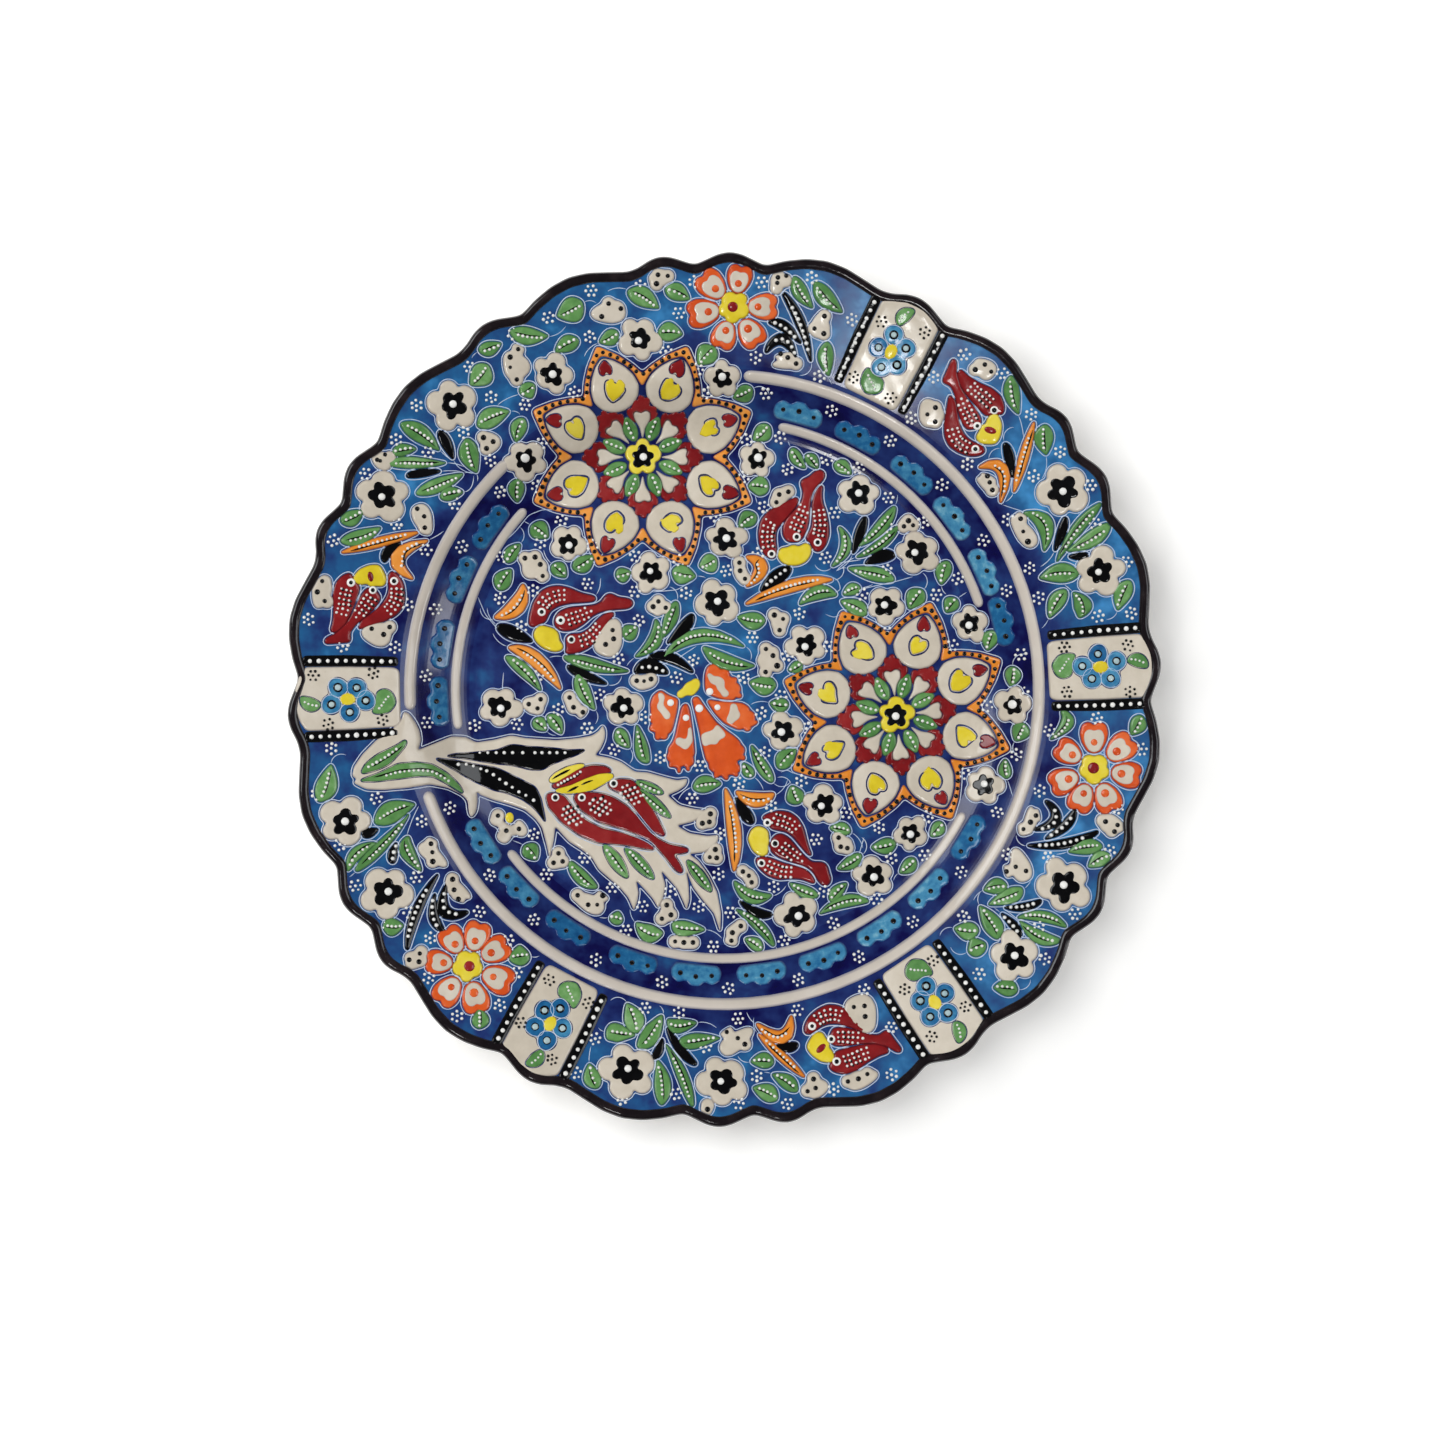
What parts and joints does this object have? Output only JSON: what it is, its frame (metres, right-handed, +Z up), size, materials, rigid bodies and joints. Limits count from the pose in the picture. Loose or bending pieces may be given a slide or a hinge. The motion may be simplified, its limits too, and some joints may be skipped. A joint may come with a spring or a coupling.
{
  "type": "plate",
  "caption": "Round scalloped ceramic plate with a sloping rim, shallow well and foot ring, painted with raised glaze flowers, tulips and leaves on cobalt blue",
  "frame": {"origin": "On the table under the plate's centre, in the plane of the foot ring", "axes": "+Z up through the plate, +X to the right and +Y to the top of the painted pattern as it hangs or is looked down on"},
  "size_m": [0.2488, 0.2492, 0.0289],
  "materials": {
    "clay_glaze": "glossy cream glaze over fired clay",
    "black_glaze": "glossy raised glaze",
    "blue_glaze": "glossy raised glaze",
    "cobalt_glaze": "glossy raised glaze",
    "cream_glaze": "glossy raised glaze",
    "sky_glaze": "glossy raised glaze",
    "yellow_glaze": "glossy raised glaze",
    "green_glaze": "glossy raised glaze",
    "amber_glaze": "glossy raised glaze",
    "red_glaze": "glossy raised glaze",
    "orange_glaze": "glossy raised glaze"
  },
  "bodies": {
    "root": {"plate_body": "clay_glaze", "rim_edge_band": "black_glaze", "rim_ground": "blue_glaze", "band_ground": "cobalt_glaze", "well_ground": "blue_glaze", "outer_ring": "cream_glaze", "inner_ring": "cream_glaze", "rim_panels": "cream_glaze", "panel_bars": "black_glaze", "panel_petals": "sky_glaze", "panel_centres": "yellow_glaze", "panel_leaves": "green_glaze", "rosette_bands": "amber_glaze", "rosette_petals": "cream_glaze", "rosette_hearts": "yellow_glaze", "rosette_darts": "red_glaze", "rosette_trefoils": "red_glaze", "trefoil_bases": "cream_glaze", "rosette_leaves": "green_glaze", "rosette_centres": "yellow_glaze", "great_tulip_ground": "cream_glaze", "great_tulip_petals": "red_glaze", "great_tulip_sepals": "yellow_glaze", "great_tulip_leaves": "green_glaze", "great_tulip_blades": "black_glaze", "tulip_petals": "red_glaze", "tulip_cups": "yellow_glaze", "carnation_petals": "orange_glaze", "carnation_patches": "cream_glaze", "carnation_cup": "yellow_glaze", "ring_flower_petals": "orange_glaze", "ring_flower_hearts": "cream_glaze", "ring_flower_centres": "yellow_glaze", "rim_daisies": "cream_glaze", "well_daisies": "cream_glaze", "daisy_hearts": "black_glaze", "rim_leaves": "green_glaze", "well_leaves": "green_glaze", "amber_leaves": "amber_glaze", "dark_leaves": "black_glaze", "buds": "cream_glaze", "band_clouds": "sky_glaze"}
  },
  "joints": []
}
